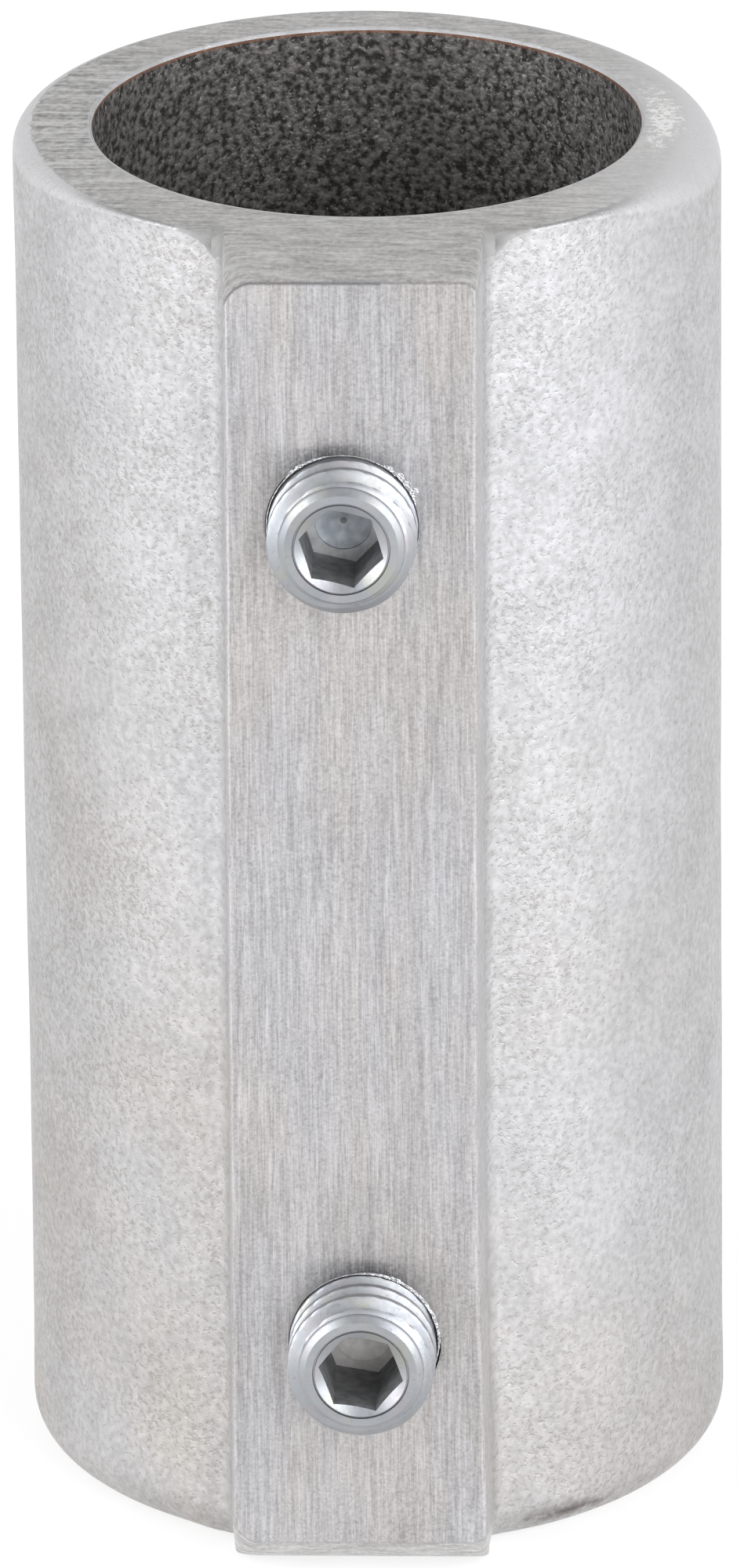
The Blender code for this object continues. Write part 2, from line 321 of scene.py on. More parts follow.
def cast_wave(angle, height):
    """Slow unevenness of a sand casting: a sum of a few sines of the angle and the height."""
    z = height / LENGTH * TURN
    wave = np.sin(2.0 * angle + 0.7 * z + 0.4) + 0.7 * np.sin(5.0 * angle - 1.6 * z + 1.9)
    wave += 0.5 * np.sin(9.0 * angle + 3.1 * z) + 0.35 * np.sin(17.0 * angle - 7.3 * z + 0.8)
    return wave / 2.55


def hole_radius(angle, depth, opening, groove_depth):
    """Radius of a tapped hole: plain wall plus one raised-cosine groove for each pitch.

    The groove's place turns once round the hole for each pitch of depth, and it breaks out through
    the flat in the direction of opening.
    """
    phase = depth / PITCH - (angle - opening) / TURN
    groove = np.clip(0.5 + 0.5 * np.cos(TURN * phase) - 0.25, 0.0, None) / 0.75
    return HOLE_RADIUS + groove_depth * groove ** 0.8


def window(outline, first_flat, heights, x, z):
    """First and last column, and first and last row of the wall, of the square round a hole at x, z."""
    columns = first_flat + np.flatnonzero(np.abs(outline[first_flat:, 0] - x) <= HOLE_PATCH_HALF)
    rows = np.flatnonzero(np.abs(heights - z) <= HOLE_PATCH_HALF)
    return columns[[0, -1]], rows[[0, -1]]


def border(index, columns, rows):
    """Point numbers round a rectangle of the grid, in order; either range may run downwards."""
    def run(start, end):
        return np.arange(start, end, 1 if end > start else -1)
    (c0, c1), (r0, r1) = columns, rows
    return np.concatenate([index[r0, run(c0, c1)], index[run(r0, r1), c1],
                           index[r1, run(c1, c0)], index[run(r1, r0), c0]])


def sleeve_rows(outline):
    """Rows of points of the sleeve's grid, in the order given at WALL_ROWS and its neighbours.

    The wall's rows share out the height between the rims and swell with the casting's waves. A face's
    rows share out the way from the rim to the bore's edge, and the bore's rows face the wall's.
    """
    bottom, top = rim(outline, RIM_SHARES, False), rim(outline, RIM_SHARES, True)
    bottom[..., :2] += lean(outline, bottom[..., 2])
    top[..., :2] += lean(outline, top[..., 2])
    wall = np.empty((len(WALL_SHARES), len(outline), 3))
    wall[..., 2] = bottom[0, :, 2] * (1.0 - WALL_SHARES) + top[0, :, 2] * WALL_SHARES
    wall[..., :2] = outline + lean(outline, wall[..., 2])
    heights = wall[..., 2]
    wave = CAST_WAVE * cast_wave(from_rib(outline), heights)
    ends = smooth_step(heights, *WAVE_FADE) * smooth_step(LENGTH - heights, *WAVE_FADE)
    scale = 1.0 + (wave - CAST_WAVE) * ends * (1.0 - on_rib(outline)[0]) / OUTER_RADIUS
    wall[..., :2] *= scale[..., None]

    angles = bore_angles(outline)
    low_edge = bore_row(angles, BORE_RADIUS + BORE_CHAMFER, 0.0)
    high_edge = bore_row(angles, BORE_RADIUS + BORE_CHAMFER, LENGTH)
    bottom_face = low_edge * (1.0 - FACE_SHARES) + bottom[-1] * FACE_SHARES
    top_face = top[-1] * (1.0 - FACE_SHARES) + high_edge * FACE_SHARES
    bore = np.stack([bore_row(angles, BORE_RADIUS, height) for height in heights[::-1]])
    return np.concatenate([
        low_edge[None], bottom_face, bottom[:0:-1], wall, top[1:], top_face, high_edge[None],
        bore_row(angles, BORE_RADIUS, LENGTH - BORE_CHAMFER)[None], bore,
        bore_row(angles, BORE_RADIUS, BORE_CHAMFER)[None]])


def end_marks(outline, total):
    """Where the ends are linished: 1 on the faces, falling to 0 over the rims' outer two thirds.

    Close beside the rib, and on the rib's own rolled ends, the rim is linished as well.
    """
    on_end = np.zeros((total, 1))
    on_end[:WALL_ROWS[0]] = 1.0
    on_end[TOP_RIM_ROWS[0]:TOP_EDGE_ROW + 1] = 1.0
    ground = np.repeat(on_end, len(outline), axis=1)
    over_rim = np.clip((RIM_SHARES[1:, None] - 0.65) / 0.35, 0.0, 1.0)
    ground[BOTTOM_RIM_ROWS] = over_rim[::-1]
    ground[TOP_RIM_ROWS] = np.maximum(over_rim, beside_mark(outline))
    return np.maximum(ground, on_end * smooth_step(on_rib(outline)[0], 0.1, 0.6))


def beside_mark(outline):
    """1 within ROLL_START of the rib's middle, 0 from 1.5 degrees further out."""
    return smooth_step(np.abs(from_rib(outline)), ROLL_START, ROLL_START - math.radians(1.5))


def sleeve_marks(outline, rows):
    """Places of the sleeve's finishes on its grid, each a value from 0 to 1 that its material reads.

    The rims' painted highlight and painted shade are curves of the angle from the rib times curves of the
    share over the rim;
    the marks also hold a painted shadow line along the flat's top edge and a painted highlight along the
    bore's edges.
    The rough patch and the flash line are bell curves across their middle lines.
    """
    marks = {key: np.zeros(rows.shape[:2]) for key in MARKS}
    marks["end_ground"] = end_marks(outline, len(rows))
    marks["rib_ground"][WALL_ROWS] = smooth_step(outline[:, 1], -RIB_FACE + 0.3 * MM, -RIB_FACE + 0.1 * MM)
    # Painted highlight: a bright line of colour along the bore's edges.
    marks["bore_edge_highlight"][[0, TOP_EDGE_ROW, TOP_EDGE_ROW + 1, len(rows) - 1]] = 1.0

    signed = from_rib(outline)
    turn_away = np.abs(signed)
    share = RIM_SHARES[1:, None]
    # Painted shade: the roll of the top face beside the rib is coloured darker, as dark as the top face
    # looks under the lamps.
    facing = beside_mark(outline) * smooth_step(turn_away, math.radians(18.5), math.radians(20.5))
    marks["rolled_painted_shade"][TOP_RIM_ROWS] = (1.0 - 0.6 * share ** 2) * facing
    # Painted shade darkens the top rim towards the front to quench its highlight; a painted highlight
    # makes the rounding paler at the sides.
    front_side = smooth_step(turn_away, math.radians(58.0), math.radians(36.0))
    marks["rim_painted_shade"][TOP_RIM_ROWS] = (0.4 + 0.6 * share) * front_side
    marks["rim_painted_shade"][WALL_ROWS[-1]] = 0.4 * front_side
    marks["rim_painted_highlight"][TOP_RIM_ROWS] = np.sqrt(share) * (1.0 - front_side) * np.sin(turn_away) ** 2
    # Painted shadow: a dark line along the flat's top edge on the left, under the rounded edge.
    on_left = (outline[:, 0] < 0.25 * RIB_HALF_WIDTH) & (on_rib(outline)[0] > 0.6)
    marks["painted_edge_shadow"][TOP_RIM_ROWS[0]] = 0.6 * on_left
    marks["painted_edge_shadow"][WALL_ROWS[-1]] = 1.0 * on_left

    x, y = rows[..., 0], rows[..., 1]
    ring = np.exp(-((np.hypot(x, y) - PATCH_RADIUS) / (1.1 * MM)) ** 2)
    marks["rough_patch"] = ring * np.exp(-((y - 0.5 * MM) / (5.2 * MM)) ** 2) * (x > 0.0)
    marks["rough_patch"][:WALL_ROWS[-1]] = 0.0
    marks["rough_patch"][TOP_EDGE_ROW:] = 0.0
    along = smooth_step(signed, math.radians(25.0), math.radians(29.0))
    along *= smooth_step(signed, math.radians(47.0), math.radians(38.0))
    marks["flash"][BOTTOM_RIM_ROWS] = np.exp(-((share[::-1] - 0.30) / 0.13) ** 2) * along
    return marks


def hole_rows(screw, x, z, edge, inner):
    """Rows of a tapped hole at x, z: over the flat, down the thread and over the bore's wall.

    Over the flat a row is the window's edge drawn in towards the hole's mouth, where the metal is
    pushed up a little. Down the hole it is a circle of the thread's radius, which ends on the bore.
    Over the bore it goes out to the inner window's edge. Returns the three blocks of rows, the
    points' directions from the hole's middle, and the flat's distances from the mouth.
    """
    angle = np.arctan2(edge[:, 0] - x, edge[:, 2] - z)
    spread = np.linspace(0.0, 1.0, 15)[1:, None] ** 0.6
    mouth = hole_radius(angle, 0.0, screw["opening"], screw["gap"])
    patch = np.empty((len(spread), len(edge), 3))
    patch[..., 0] = edge[:, 0] + (x + mouth * np.sin(angle) - edge[:, 0]) * spread
    patch[..., 2] = edge[:, 2] + (z + mouth * np.cos(angle) - edge[:, 2]) * spread
    away = np.hypot(patch[..., 0] - x, patch[..., 2] - z) - mouth
    patch[..., 1] = -RIB_FACE - 0.03 * MM * np.exp(-(away / (0.8 * MM)) ** 2)

    sink = np.linspace(0.0, 1.0, 66)[1:, None]
    back_x = x + HOLE_RADIUS * np.sin(angle)
    back_y = -np.sqrt(BORE_RADIUS ** 2 - back_x ** 2)
    depth = sink * (back_y + RIB_FACE)
    radius = hole_radius(angle, depth, screw["opening"], screw["gap"])
    radius += (HOLE_RADIUS - radius) * smooth_step(sink, 0.9, 1.0)
    tube = np.empty((len(sink), len(edge), 3))
    tube[..., 0] = x + radius * np.sin(angle)
    tube[..., 1] = -RIB_FACE + depth
    tube[0, :, 1] = -RIB_FACE + 0.02 * MM
    tube[..., 2] = z + radius * np.cos(angle)

    lead = np.linspace(0.0, 1.0, 7)[1:-1, None]
    apron = np.empty((len(lead), len(edge), 3))
    apron[..., 0] = tube[-1, :, 0] + (inner[:, 0] - tube[-1, :, 0]) * lead
    apron[..., 2] = tube[-1, :, 2] + (inner[:, 2] - tube[-1, :, 2]) * lead
    apron[..., 1] = -np.sqrt(BORE_RADIUS ** 2 - apron[..., 0] ** 2)
    return patch, tube, apron, angle, away


def mouth_darkening_mark(screw, angle, away):
    """Darker patch on the flat at a hole's mouth: a bell curve of the direction that fades outwards, and a
    thin line of painted shade all round the mouth. The three outermost rows fade it out."""
    side = (angle - screw["mouth_darkening"] + math.pi) % TURN - math.pi
    dark = np.exp(-(side / math.radians(38.0)) ** 2) * np.exp(-away / (1.6 * MM))
    # Thin ring of painted shade all round the mouth.
    dark = np.maximum(dark, 0.3 * np.exp(-away / (0.2 * MM)))
    dark[:3] *= np.array([0.25, 0.5, 0.75])[:, None]
    return dark


def add_sleeve(materials):
    """The whole sleeve as one closed skin; materials are those of the skin, the bore and the threads."""
    outline, first_flat = plan_outline()
    rows = sleeve_rows(outline)
    total, columns = rows.shape[:2]
    index = np.arange(total * columns).reshape(total, columns)
    quads = grid_faces(np.concatenate([index, index[:1]])).reshape(total, columns, 4)
    keep = np.ones((total, columns), bool)
    kind = np.zeros((total, columns), int)
    kind[TOP_EDGE_ROW + 1:total - 1] = 1

    points, faces, face_kind = [rows.reshape(-1, 3)], [], []
    values = {key: [mark.ravel()] for key, mark in sleeve_marks(outline, rows).items()}
    count = total * columns
    for name, screw in SCREWS.items():
        low, high = (np.array(corner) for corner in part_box(name))
        x, z = (low[0] + high[0]) / 2.0, (low[2] + high[2]) / 2.0
        (c0, c1), (r0, r1) = window(outline, first_flat, rows[WALL_ROWS, first_flat + 5, 2], x, z)
        b0, b1 = BORE_ROWS[-1 - r0], BORE_ROWS[-1 - r1]
        front = border(index, (c0, c1), (WALL_ROWS[r0], WALL_ROWS[r1]))
        back = border(index, (c0, c1), (b0, b1))
        keep[WALL_ROWS[r0]:WALL_ROWS[r1], c0:c1] = False
        keep[b1:b0, c0:c1] = False

        patch, tube, apron, angle, away = hole_rows(screw, x, z, points[0][front], points[0][back])
        new = np.concatenate([patch, tube, apron])
        fresh = np.arange(new.shape[0] * new.shape[1]).reshape(new.shape[:2]) + count
        strip = grid_faces(np.concatenate([front[None], fresh, back[None]]))
        strip_kind = np.zeros((len(new) + 1, len(front)), int)
        strip_kind[len(patch):len(patch) + len(tube)] = 2
        strip_kind[len(patch) + len(tube):] = 1
        faces.append(strip)
        face_kind.append(strip_kind.ravel())
        points.append(new.reshape(-1, 3))
        fresh_values = {key: np.zeros(new.shape[:2]) for key in MARKS}
        fresh_values["rib_ground"][:len(patch)] = 1.0
        fresh_values["mouth_darkening"][:len(patch)] = mouth_darkening_mark(screw, angle, away)
        for key, fresh_mark in fresh_values.items():
            values[key].append(fresh_mark.ravel())
        count += fresh.size

    points = np.concatenate(points) + np.array([0.0, AXIS_Y, SLEEVE_LOW[2]])
    sleeve = add_piece("sleeve_casting", points, [quads[keep]] + faces, materials,
                       np.concatenate([kind[keep]] + face_kind),
                       {key: np.concatenate(parts) for key, parts in values.items()})
    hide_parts("coupling_sleeve")
    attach(sleeve, "sleeve")


def add_burr(name, body_part, material):
    """Torn lip round a tapped hole on the flat: a closed ring of low jagged teeth.

    The ring starts at the hole's edge. Its width and height follow a few bell curves of the
    direction, each multiplied by a saw of teeth with uneven sizes; its underside lies in the flat.
    """
    low, high = (np.array(corner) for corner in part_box(body_part))
    angle = np.arange(900) / 900.0 * TURN
    random = np.random.default_rng(7)
    height = np.full_like(angle, 0.012 * MM)
    width = np.full_like(angle, 0.06 * MM)
    for direction, half, tall, reach, teeth in SCREWS[body_part]["burrs"]:
        side = (angle - math.radians(direction) + math.pi) % TURN - math.pi
        bell = np.clip(1.25 * np.exp(-(side / math.radians(half)) ** 4), 0.0, 1.0)
        sizes = random.uniform(0.3, 1.0, int(teeth) + 1)
        place = angle / TURN * teeth
        tooth = sizes[place.astype(int)] * np.sin(math.pi * (place % 1.0)) ** 0.5
        coarse = 0.75 + 0.25 * np.sin(5.0 * angle + direction) * np.sin(11.0 * angle)
        height += tall * MM * bell * (0.35 + 0.65 * tooth) * coarse
        width += (0.08 + reach * (0.55 + 0.45 * tooth) * coarse) * MM * bell
    shares = np.array([0.0, 0.0, 0.08, 0.18, 0.3, 0.42, 0.54, 0.66, 0.8, 1.0, 1.0])[:, None]
    lift = np.array([-1.0, 0.7, 1.0, 0.85, 0.7, 0.6, 0.45, 0.35, 0.2, 0.0, -1.0])[:, None]
    rough = random.standard_normal((len(shares), len(angle)))
    rough = (rough + np.roll(rough, 1, axis=1) + np.roll(rough, 2, axis=1)) / 1.7
    crumple = np.clip(1.0 + 0.32 * rough * (lift > 0.0), 0.05, None)
    radius = HOLE_RADIUS + 0.01 * MM + width * shares
    points = np.empty(radius.shape + (3,))
    points[..., 0] = (low[0] + high[0]) / 2.0 + radius * np.sin(angle)
    points[..., 2] = (low[2] + high[2]) / 2.0 + radius * np.cos(angle)
    raised = np.where(lift > 0.0, height * lift * crumple, lift * 0.05 * MM)
    points[..., 1] = AXIS_Y - RIB_FACE - raised
    index = np.arange(radius.size).reshape(radius.shape)
    burr = add_piece(name, points.reshape(-1, 3), [grid_faces(np.concatenate([index, index[:1]]))],
                     [material], sharp=20.0)
    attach(burr, "sleeve")


# ---------------------------------------------------------------- set screws

def thread_radius(depth, phase):
    """Radius of the thread: crest, straight flank, root, flank over one turn's phase, softened.

    Both ends are cut by a 45 degree cone from the outer face and from the cup point.
    """
    crest, root = 0.28, 0.12
    flank = (1.0 - crest - root) / 2.0
    away = np.abs((phase - crest / 2.0 + 0.5) % 1.0 - 0.5)
    cut = np.clip((away - crest / 2.0) / flank, 0.0, 1.0)
    cut = cut * 0.85 + 0.15 * smooth_step(cut, 0.0, 1.0)
    start_line = 0.07 * MM * math.exp(-((depth - 0.5 * MM) / (0.06 * MM)) ** 2)
    outer_cone = FACE_RADIUS + depth - start_line
    tip_cone = CUP_RADIUS + (SCREW_LENGTH - depth)
    return np.minimum(np.minimum(MAJOR_RADIUS - THREAD_DEPTH * cut, outer_cone), tip_cone)


def hexagon_radius(angle):
    """Distance from the axis to a regular hexagon's side at an angle, with a corner at angle 0."""
    from_corner = (angle + math.pi / 6.0) % (math.pi / 3.0) - math.pi / 6.0
    return HEX_ACROSS_FLATS / 2.0 / np.cos(math.pi / 6.0 - np.abs(from_corner))


def add_screw(name, materials):
    """Set screw: rows of (depth, radius) carried round its axis; the thread's phase turns with them.

    The materials are those of the plate, the pilot, the socket's walls and the floor round the pilot.
    """
    screw = SCREWS[name]
    turn, hex_depth, (step, cone) = screw["turn"], screw["hex_depth"], screw["pilot"]
    low, high = (np.array(corner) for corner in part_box(name))
    angle = np.arange(180) / 180.0 * TURN
    hexagon = hexagon_radius(angle)
    flat = np.ones_like(angle)
    rows = []
    for share in np.array([0.02, 0.12, 0.35, 0.6, 0.8, 1.0]):
        rows.append((flat * (hex_depth + step + cone * (1.0 - share)), flat * PILOT_RADIUS * share))
    pilot_rows = len(rows)
    rows.append((flat * hex_depth, flat * (PILOT_RADIUS + 0.02 * MM)))
    for share in np.linspace(0.1, 1.0, 4):
        rows.append((flat * hex_depth, PILOT_RADIUS + (hexagon - PILOT_RADIUS) * share))
    floor_rows = len(rows) - 1
    mouth = (SOCKET_MOUTH_RADIUS - hexagon) * SOCKET_MOUTH_SLOPE
    for share in np.linspace(0.0, 1.0, 8)[1:]:
        rows.append((hex_depth + (mouth - hex_depth) * share, hexagon))
    wall_rows = len(rows) - 1
    for share in np.linspace(0.0, 1.0, 6)[1:]:
        radius = hexagon + (SOCKET_MOUTH_RADIUS - hexagon) * share
        rows.append(((SOCKET_MOUTH_RADIUS - radius) * SOCKET_MOUTH_SLOPE, radius))
    rows.append((flat * MOUTH_GROOVE, flat * (SOCKET_MOUTH_RADIUS + 0.02 * MM)))
    rows.append((flat * MOUTH_GROOVE, flat * (SOCKET_MOUTH_RADIUS + 0.12 * MM)))
    for radius in np.linspace(SOCKET_MOUTH_RADIUS + 0.16 * MM, FACE_RADIUS, 5):
        rows.append((flat * 0.0, flat * radius))
    for depth in np.linspace(0.0, SCREW_LENGTH, 200)[1:]:
        rows.append((flat * depth, thread_radius(depth, depth / PITCH - angle / TURN)))
    for share in np.linspace(0.0, 0.98, 8)[1:]:
        rows.append((flat * (SCREW_LENGTH - CUP_DEPTH * share), flat * CUP_RADIUS * (1.0 - share)))
    depth, radius = (np.array(part) for part in zip(*rows))
    points = np.empty(depth.shape + (3,))
    points[..., 0] = (low[0] + high[0]) / 2.0 + radius * np.sin(angle + turn)
    points[..., 1] = low[1] + depth
    points[..., 2] = (low[2] + high[2]) / 2.0 + radius * np.cos(angle + turn)
    index = np.arange(depth.size).reshape(depth.shape)
    poles = points[[0, -1]].mean(axis=1)
    fan_a = np.stack([np.roll(index[0], -1), index[0], np.full(len(angle), depth.size)], axis=1)
    fan_b = np.stack([index[-1], np.roll(index[-1], -1), np.full(len(angle), depth.size + 1)], axis=1)
    points = np.concatenate([points.reshape(-1, 3), poles])
    kind = np.zeros((len(depth) - 1, len(angle)), int)
    kind[:wall_rows] = 2
    kind[:floor_rows] = 3
    kind[:pilot_rows] = 1
    kind[0] = 2
    kind = np.concatenate([kind.ravel(), np.full(len(angle), 2), np.zeros(len(angle), int)])
    piece = add_piece(name.replace("set_screw", "screw_body"), points, [grid_faces(index), fan_a, fan_b],
                      materials, kind)
    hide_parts(name)
    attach(piece, screw["body"])


# ---------------------------------------------------------------- material helpers

class Nodes:
    """Short way to place and link nodes in one tree."""

    def __init__(self, tree):
        self.tree = tree

    def add(self, kind, inputs=None, **settings):
        node = self.tree.nodes.new(kind)
        for key, value in settings.items():
            setattr(node, key, value)
        for key, value in (inputs or {}).items():
            if isinstance(value, bpy.types.NodeSocket):
                self.tree.links.new(value, node.inputs[key])
            else:
                node.inputs[key].default_value = value
        return node

    def math(self, operation, a, b=0.0, c=0.0, clamp=False):
        node = self.add("ShaderNodeMath", {0: a, 1: b, 2: c}, operation=operation, use_clamp=clamp)
        return node.outputs[0]

    def mix(self, factor, a, b, blend="MIX"):
        node = self.add("ShaderNodeMix", {0: factor, 6: a, 7: b}, data_type="RGBA", blend_type=blend)
        return node.outputs[2]

    def mix_value(self, factor, a, b):
        node = self.add("ShaderNodeMix", {0: factor, 2: a, 3: b}, data_type="FLOAT")
        return node.outputs[0]

    def remap(self, value, low, high, to_low=0.0, to_high=1.0, smooth=False):
        node = self.add("ShaderNodeMapRange",
                        {"Value": value, "From Min": low, "From Max": high,
                         "To Min": to_low, "To Max": to_high},
                        interpolation_type="SMOOTHSTEP" if smooth else "LINEAR")
        return node.outputs[0]

    def noise(self, vector, scale, detail=3.0, roughness=0.55, distortion=0.0):
        node = self.add("ShaderNodeTexNoise", {"Vector": vector, "Scale": scale, "Detail": detail,
                                               "Roughness": roughness, "Distortion": distortion})
        return node.outputs[0]

    def attribute(self, name):
        return self.add("ShaderNodeAttribute", attribute_name=name).outputs["Fac"]

    def grain(self, tree, vector, size, pit_size, pit_amount):
        node = self.add("ShaderNodeGroup", {"Vector": vector, "Grain Size": size, "Pit Size": pit_size,
                                            "Pit Amount": pit_amount}, node_tree=tree)
        return node.outputs

    def strokes(self, tree, vector, stretch, fineness):
        node = self.add("ShaderNodeGroup", {"Vector": vector, "Stretch": stretch, "Fineness": fineness},
                        node_tree=tree)
        return node.outputs

    def stretch(self, vector, scale, rotation=(0.0, 0.0, 0.0)):
        node = self.add("ShaderNodeMapping", {"Vector": vector, "Scale": scale, "Rotation": rotation})
        return node.outputs[0]


def new_group(name, inputs, outputs):
    """Empty node group with named sockets; inputs map a name to (socket kind, value)."""
    tree = bpy.data.node_groups.new(name, "ShaderNodeTree")
    for key, (kind, value) in inputs.items():
        socket = tree.interface.new_socket(name=key, in_out="INPUT", socket_type=kind)
        if value is not None:
            socket.default_value = value
    for key, kind in outputs.items():
        tree.interface.new_socket(name=key, in_out="OUTPUT", socket_type=kind)
    nodes = Nodes(tree)
    entry = nodes.add("NodeGroupInput")
    leave = nodes.add("NodeGroupOutput")
    return tree, nodes, entry, leave


def grain_group():
    """Sand-cast grain: fine pale mottle, small soft pits in drifting patches, and their height."""
    tree, nodes, entry, leave = new_group(
        "sand_cast_grain",
        {"Vector": ("NodeSocketVector", None), "Grain Size": ("NodeSocketFloat", 1000.0),
         "Pit Size": ("NodeSocketFloat", 2200.0), "Pit Amount": ("NodeSocketFloat", 0.5)},
        {"Mottle": "NodeSocketFloat", "Pits": "NodeSocketFloat", "Height": "NodeSocketFloat"})
    vector = entry.outputs["Vector"]
    mottle = nodes.noise(vector, entry.outputs["Grain Size"], 2.0, 0.5)
    drift = nodes.noise(vector, 85.0, 3.0, 0.6)
    speck = nodes.noise(vector, entry.outputs["Pit Size"], 2.0, 0.6)
    patch = nodes.remap(drift, 0.38, 0.62, 0.06, -0.03)
    level = nodes.math("ADD", nodes.math("MULTIPLY_ADD", entry.outputs["Pit Amount"], -0.16, 0.68), patch)
    pits = nodes.remap(nodes.math("SUBTRACT", speck, level), -0.03, 0.12, smooth=True)
    height = nodes.math("MULTIPLY_ADD", pits, -0.6, mottle)
    nodes.tree.links.new(mottle, leave.inputs["Mottle"])
    nodes.tree.links.new(pits, leave.inputs["Pits"])
    nodes.tree.links.new(height, leave.inputs["Height"])
    return tree


def stroke_group():
    """Belt-linished strokes: drawn-out noise at two widths over a fine even grain."""
    tree, nodes, entry, leave = new_group(
        "linished_strokes",
        {"Vector": ("NodeSocketVector", None), "Stretch": ("NodeSocketVector", (1.0, 1.0, 1.0)),
         "Fineness": ("NodeSocketFloat", 1.0)},
        {"Strokes": "NodeSocketFloat", "Scratches": "NodeSocketFloat"})
    vector, fineness = entry.outputs["Vector"], entry.outputs["Fineness"]
    drawn = nodes.add("ShaderNodeVectorMath", {0: vector, 1: entry.outputs["Stretch"]},
                      operation="MULTIPLY").outputs[0]
    wide = nodes.noise(drawn, fineness, 2.0, 0.6)
    fine = nodes.noise(drawn, nodes.math("MULTIPLY", fineness, 2.3), 2.0, 0.6)
    grain = nodes.noise(vector, nodes.math("MULTIPLY", fineness, 1.5), 2.0, 0.6)
    strokes = nodes.mix_value(0.33, nodes.mix_value(0.5, wide, fine), grain)
    narrow = nodes.noise(drawn, nodes.math("MULTIPLY", fineness, 1.7), 1.0, 0.5)
    scratches = nodes.remap(narrow, 0.66, 0.74, smooth=True)
    nodes.tree.links.new(strokes, leave.inputs["Strokes"])
    nodes.tree.links.new(scratches, leave.inputs["Scratches"])
    return tree


def start_material(name, metallic):
    """Material with a Principled BSDF; returns it, its node helper, shader and object coordinates."""
    material = bpy.data.materials.new(name)
    material.use_nodes = True
    nodes = Nodes(material.node_tree)
    shader = material.node_tree.nodes["Principled BSDF"]
    shader.inputs["Metallic"].default_value = metallic
    position = nodes.add("ShaderNodeTexCoord").outputs["Object"]
    return material, nodes, shader, position


def finish_material(nodes, shader, colour, roughness, height, strength, distance):
    """Feed a material's colour, roughness and bump height to its shader."""
    bump = nodes.add("ShaderNodeBump", {"Height": height, "Strength": strength, "Distance": distance})
    nodes.tree.links.new(colour, shader.inputs["Base Color"])
    nodes.tree.links.new(roughness, shader.inputs["Roughness"])
    nodes.tree.links.new(bump.outputs[0], shader.inputs["Normal"])


# ---------------------------------------------------------------- materials

def cast_colour(nodes, position, place, skin):
    """Blasted casting: pale mottle, dark specks, slow clouds, a warm stain low down, painted highlight and
    painted shade on the rims, and flash.
    """
    colour = nodes.mix(nodes.remap(skin["Mottle"], 0.34, 0.66),
                       (0.425, 0.423, 0.433, 1), (0.515, 0.516, 0.533, 1))
    colour = nodes.mix(nodes.math("MULTIPLY", skin["Pits"], 0.48), colour, (0.30, 0.285, 0.262, 1))
    cloud = nodes.remap(nodes.noise(position, 240.0, 4.0, 0.7), 0.38, 0.62)
    cloud = nodes.mix(cloud, (0.94, 0.94, 0.935, 1), (1.05, 1.05, 1.055, 1))
    colour = nodes.mix(1.0, colour, cloud, "MULTIPLY")
    stain = nodes.remap(nodes.noise(position, 60.0, 3.0, 0.6), 0.38, 0.62, 0.30, 1.0)
    low_down = nodes.remap(place[2], 0.75 * LENGTH, 0.05 * LENGTH, 0.30, 1.0)
    to_left = nodes.remap(place[0], -0.3 * OUTER_RADIUS, 0.3 * OUTER_RADIUS, 1.0, 0.65)
    stain = nodes.math("MULTIPLY", stain, nodes.math("MULTIPLY", low_down, to_left))
    colour = nodes.mix(stain, colour, (0.915, 0.870, 0.800, 1), "MULTIPLY")
    broken = nodes.remap(nodes.noise(position, 900.0, 2.0), 0.35, 0.6)
    flash = nodes.math("MULTIPLY", nodes.attribute("flash"), broken)
    colour = nodes.mix(flash, colour, (0.15, 0.13, 0.12, 1))
    # Painted highlight on the rims' rounding at the sides, and painted shade on the top rim towards the
    # front.
    for mark, amount, shade in [("rim_painted_highlight", 0.9, (0.74, 0.74, 0.75, 1)),
                                ("rim_painted_shade", 0.85, (0.27, 0.267, 0.27, 1))]:
        colour = nodes.mix(nodes.math("MULTIPLY", nodes.attribute(mark), amount), colour, shade)
    return colour


def rib_colour(nodes, position, skin, lines):
    """Linished flat: upright strokes, blotches, pits, scratches, a slow tint, and darker patches at the
    holes with a ring of painted shade round each mouth.
    """
    colour = nodes.mix(nodes.remap(lines["Strokes"], 0.38, 0.62),
                       (0.325, 0.319, 0.325, 1), (0.556, 0.547, 0.555, 1))
    blotch = nodes.noise(nodes.stretch(position, (1.0, 1.0, 0.35)), 330.0, 3.0, 0.6)
    blotch = nodes.remap(blotch, 0.40, 0.68, 0.0, 0.5)
    colour = nodes.mix(blotch, colour, (0.84, 0.825, 0.81, 1), "MULTIPLY")
    colour = nodes.mix(nodes.math("MULTIPLY", skin["Pits"], 0.28), colour, (0.20, 0.19, 0.185, 1))
    colour = nodes.mix(nodes.math("MULTIPLY", lines["Scratches"], 0.45), colour, (0.62, 0.62, 0.64, 1))
    tint = nodes.noise(nodes.stretch(position, (1.0, 1.0, 0.3)), 170.0, 3.0, 0.6)
    tint = nodes.mix(nodes.remap(tint, 0.36, 0.64), (0.995, 0.998, 1.012, 1), (1.03, 1.005, 0.972, 1))
    colour = nodes.mix(1.0, colour, tint, "MULTIPLY")
    # Darker patch at each hole's mouth, deepest in the strokes' grooves; its thin ring round the mouth is
    # painted shade.
    in_grooves = nodes.remap(lines["Strokes"], 0.60, 0.44, 0.45, 1.1)
    mouth_darkening = nodes.math("MULTIPLY", nodes.attribute("mouth_darkening"), in_grooves, clamp=True)
    return nodes.mix(mouth_darkening, colour, (0.13, 0.13, 0.135, 1))


